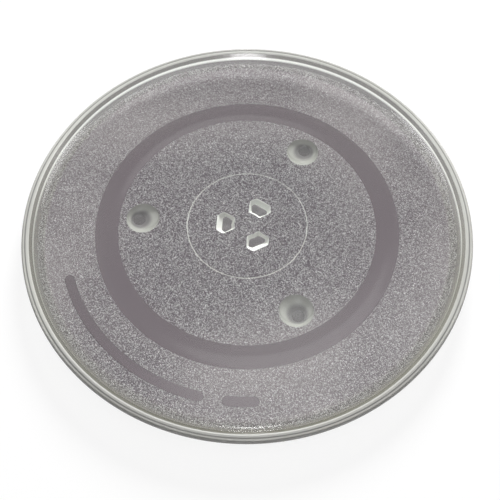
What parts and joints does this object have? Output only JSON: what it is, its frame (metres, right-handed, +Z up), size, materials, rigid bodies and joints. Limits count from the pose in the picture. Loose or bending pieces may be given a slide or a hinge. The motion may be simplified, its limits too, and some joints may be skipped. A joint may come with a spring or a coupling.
{
  "type": "microwave glass tray",
  "caption": "Round pressed-glass turntable dish with a low coved rim; roller track, drive lugs, centring ring and domed feet are moulded on its underside.",
  "frame": {"origin": "on the dish's axis, at the level of the foot soles that it stands on", "axes": "+Z up along the dish's axis, out of the dish; a foot and a drive lug lie on -X, and the long bare panel is on the -X -Y side"},
  "size_m": [0.34, 0.34, 0.0169],
  "materials": {
    "glass": "smoky clear pressed glass, stippled below, smooth on the track, lugs, feet and panels"
  },
  "bodies": {
    "root": {"glass_tray": "glass"}
  },
  "joints": []
}
